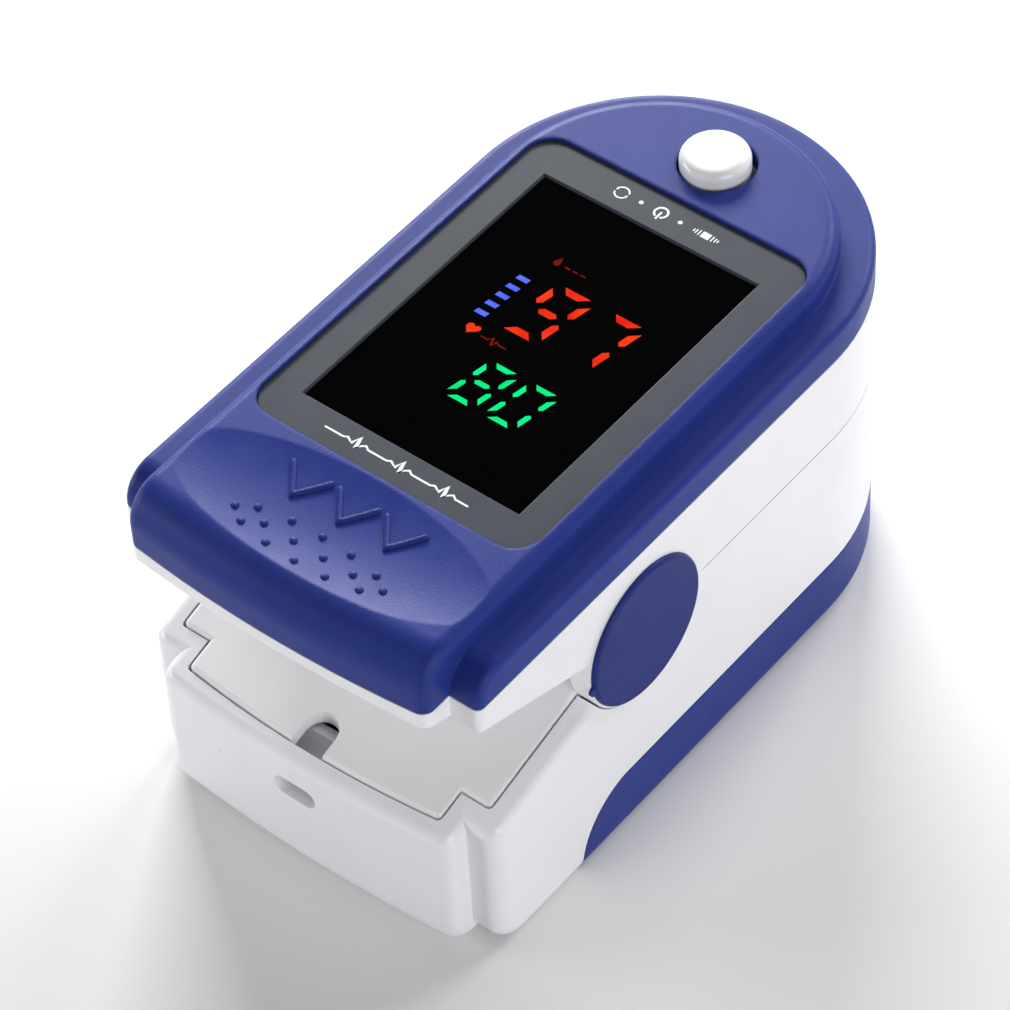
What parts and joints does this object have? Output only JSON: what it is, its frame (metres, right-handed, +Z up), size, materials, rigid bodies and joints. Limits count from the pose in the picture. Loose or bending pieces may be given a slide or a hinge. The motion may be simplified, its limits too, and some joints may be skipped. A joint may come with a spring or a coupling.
{
  "type": "fingertip pulse oximeter",
  "caption": "Fingertip pulse oximeter: two sprung jaws on a side hinge, lit numeric display, push end, power key, battery bay with a sliding cover.",
  "frame": {"origin": "centre of the body's footprint, on the plane it stands on", "axes": "+Z up through the display; +Y towards the round end where the finger goes in; +X to the right seen from the push end"},
  "size_m": [0.033, 0.0597, 0.0336],
  "materials": {
    "blue_cover": "fine spark-eroded satin",
    "blue_cap": "smooth satin",
    "white_shell": "moulded gloss",
    "white_inner": "moulded satin",
    "white_button": "polished",
    "panel_grey": "printed satin",
    "smoked_window": "polished, smoked",
    "display_black": "epoxy",
    "silicone": "matt silicone",
    "battery_can": null,
    "contact_metal": "nickel plated",
    "steel": "zinc plated",
    "circuit_board": "solder resist",
    "chip_black": "moulded epoxy",
    "clear_lens": "polished",
    "ribbon": "polyimide film"
  },
  "bodies": {
    "lower_jaw": {"lower_case": "white_shell", "lower_inner_cover": "white_inner", "lower_finger_pad": "silicone", "battery_left": "battery_can", "battery_right": "battery_can", "battery_bridge": "contact_metal", "positive_terminal": "contact_metal", "negative_terminal": "contact_metal", "sensor_board": "circuit_board", "photodiode": "chip_black", "sensor_window": "clear_lens", "hinge_pin_left": "steel", "hinge_pin_right": "steel", "hinge_cap_left": "blue_cap", "hinge_cap_right": "blue_cap", "hinge_spring_left": "steel", "hinge_spring_right": "steel", "lower_screws": "steel", "ribbon_cable": "ribbon"},
    "battery_cover": {"battery_cover": "blue_cover"},
    "upper_jaw": {"top_cover": "blue_cover", "face_panel": "panel_grey", "display_window": "smoked_window", "display_module": "display_black", "main_board": "circuit_board", "microcontroller": "chip_black", "signal_amplifier": "chip_black", "tact_switch": "chip_black", "upper_case": "white_shell", "upper_inner_cover": "white_inner", "upper_finger_pad": "silicone", "emitter_board": "circuit_board", "light_emitter": "clear_lens", "emitter_window": "clear_lens", "upper_screws": "steel"},
    "power_button": {"power_button": "white_button", "switch_plunger": "white_button"}
  },
  "joints": [
    {"name": "jaw_hinge", "type": "hinge", "parent": "lower_jaw", "child": "upper_jaw", "pos_m": [0, -0.00885, 0.01965], "axis": [1, 0, 0], "range_deg": [0, 25], "stiffness_Nm_per_rad": 0.15, "springref_deg": -20.05, "deforming": ["hinge_spring_left", "hinge_spring_right", "ribbon_cable"]},
    {"name": "power_key", "type": "slide", "parent": "upper_jaw", "child": "power_button", "axis": [0, 0, -1], "range_m": [0, 0.0004], "stiffness_N_per_m": 1500, "springref_m": -0.0006},
    {"name": "battery_cover_slide", "type": "slide", "parent": "lower_jaw", "child": "battery_cover", "axis": [0, 1, 0], "range_m": [0, 0.05]}
  ]
}
